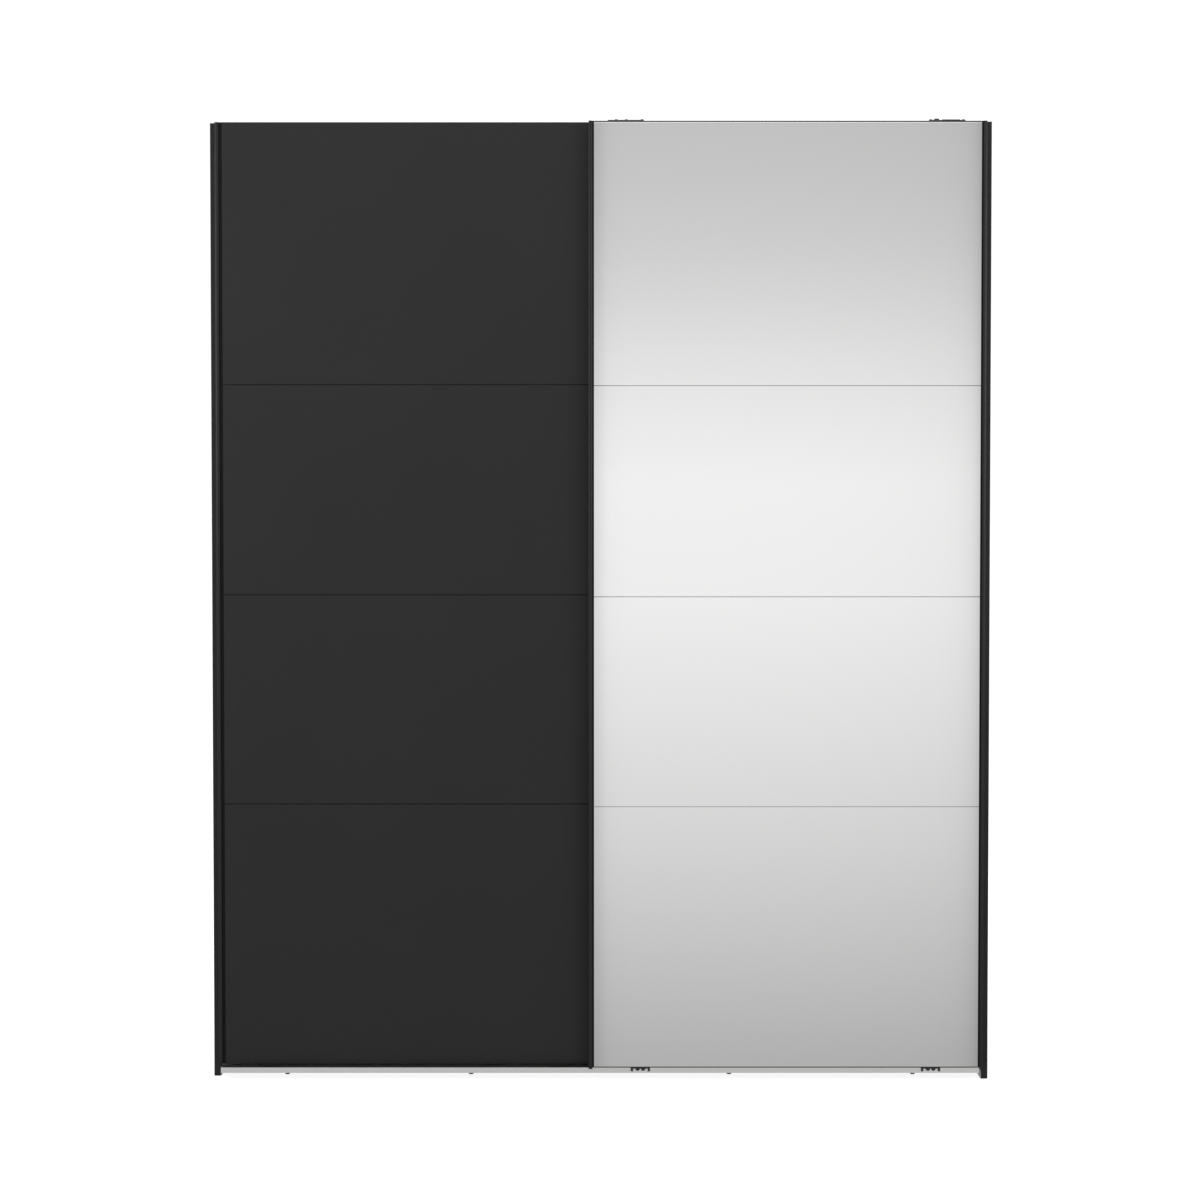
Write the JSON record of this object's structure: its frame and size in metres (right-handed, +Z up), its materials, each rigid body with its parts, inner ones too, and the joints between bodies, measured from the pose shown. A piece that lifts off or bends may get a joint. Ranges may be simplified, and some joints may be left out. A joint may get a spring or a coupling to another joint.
{
  "type": "sliding door wardrobe",
  "caption": "Tall sliding door wardrobe with a graphite door and a mirror door of four fields each, top-hung on a two-lane track, with shelves and a hanging rail inside.",
  "frame": {"origin": "on the floor, under the middle of the wardrobe", "axes": "+X to the right seen from the front, -Y towards the front, +Z up"},
  "size_m": [1.79, 0.64, 2.2072],
  "materials": {
    "carcass_board": "matt graphite melamine",
    "interior_board": "light grey melamine",
    "back_board": "light grey hardboard",
    "door_board": "matt graphite melamine",
    "graphite_front": "matt",
    "silver_mirror": "polished",
    "black_aluminium": "black anodised",
    "black_steel": "black powder coat",
    "aluminium_rail": "satin anodised",
    "chrome_tube": "polished",
    "zinc_fitting": "zinc plated",
    "bearing_steel": "ground",
    "nylon_wheel": "satin",
    "dark_plastic": "matt",
    "rubber_buffer": "matt",
    "brush_pile": "pile"
  },
  "bodies": {
    "carcass": {"side_panel_left": "carcass_board", "side_panel_right": "carcass_board", "top_panel": "interior_board", "bottom_panel": "interior_board", "partition": "interior_board", "hat_shelf_left": "interior_board", "hat_shelf_right": "interior_board", "shelf_lower": "interior_board", "shelf_middle": "interior_board", "shelf_upper": "interior_board", "back_panel_left": "back_board", "back_panel_right": "back_board", "back_joint_strip": "dark_plastic", "hanging_rail": "chrome_tube", "rail_sockets": "chrome_tube", "top_track": "aluminium_rail", "track_stops": "rubber_buffer", "bottom_rail": "aluminium_rail", "levelling_feet": "dark_plastic", "cam_housings": "zinc_fitting", "cam_bolts": "zinc_fitting", "partition_screws": "zinc_fitting", "shelf_pins": "zinc_fitting", "wall_brackets": "zinc_fitting", "panel_screws": "zinc_fitting"},
    "graphite_door": {"graphite_door_core": "door_board", "graphite_door_field_1": "graphite_front", "graphite_door_field_2": "graphite_front", "graphite_door_field_3": "graphite_front", "graphite_door_field_4": "graphite_front", "graphite_door_stile_left": "black_aluminium", "graphite_door_stile_right": "black_aluminium", "graphite_door_carrier_left": "black_steel", "graphite_door_carrier_right": "black_steel", "graphite_door_axles": "zinc_fitting", "graphite_door_guides": "dark_plastic", "graphite_door_screws": "zinc_fitting", "graphite_door_brush": "brush_pile"},
    "mirror_door": {"mirror_door_core": "door_board", "mirror_door_mirror_1": "silver_mirror", "mirror_door_mirror_2": "silver_mirror", "mirror_door_mirror_3": "silver_mirror", "mirror_door_mirror_4": "silver_mirror", "mirror_door_handle_stile": "black_aluminium", "mirror_door_stile_right": "black_aluminium", "mirror_door_carrier_left": "black_steel", "mirror_door_carrier_right": "black_steel", "mirror_door_adjusters": "black_steel", "mirror_door_axles": "zinc_fitting", "mirror_door_guides": "dark_plastic", "mirror_door_screws": "zinc_fitting", "mirror_door_brush": "brush_pile"},
    "graphite_wheel_left": {"graphite_door_wheel_left": "nylon_wheel", "graphite_door_bearing_left": "bearing_steel"},
    "graphite_wheel_right": {"graphite_door_wheel_right": "nylon_wheel", "graphite_door_bearing_right": "bearing_steel"},
    "mirror_wheel_left": {"mirror_door_wheel_left": "nylon_wheel", "mirror_door_bearing_left": "bearing_steel"},
    "mirror_wheel_right": {"mirror_door_wheel_right": "nylon_wheel", "mirror_door_bearing_right": "bearing_steel"}
  },
  "joints": [
    {"name": "graphite_door_slide", "type": "slide", "parent": "carcass", "child": "graphite_door", "axis": [1, 0, 0], "range_m": [0, 0.845]},
    {"name": "mirror_door_slide", "type": "slide", "parent": "carcass", "child": "mirror_door", "axis": [-1, 0, 0], "range_m": [0, 0.845]},
    {"name": "graphite_wheel_left_spin", "type": "hinge", "parent": "graphite_door", "child": "graphite_wheel_left", "pos_m": [-0.793, -0.2435, 2.17255], "axis": [0, 1, 0], "range_deg": [0, 3500]},
    {"name": "graphite_wheel_right_spin", "type": "hinge", "parent": "graphite_door", "child": "graphite_wheel_right", "pos_m": [-0.059, -0.2435, 2.17255], "axis": [0, 1, 0], "range_deg": [0, 3500]},
    {"name": "mirror_wheel_left_spin", "type": "hinge", "parent": "mirror_door", "child": "mirror_wheel_left", "pos_m": [0.059, -0.2195, 2.17255], "axis": [0, -1, 0], "range_deg": [0, 3500]},
    {"name": "mirror_wheel_right_spin", "type": "hinge", "parent": "mirror_door", "child": "mirror_wheel_right", "pos_m": [0.793, -0.2195, 2.17255], "axis": [0, -1, 0], "range_deg": [0, 3500]}
  ],
  "couplings": [
    {"joint": "graphite_wheel_left_spin", "follows": "graphite_door_slide", "rad_per_m": 71.429},
    {"joint": "graphite_wheel_right_spin", "follows": "graphite_door_slide", "rad_per_m": 71.429},
    {"joint": "mirror_wheel_left_spin", "follows": "mirror_door_slide", "rad_per_m": 71.429},
    {"joint": "mirror_wheel_right_spin", "follows": "mirror_door_slide", "rad_per_m": 71.429}
  ]
}
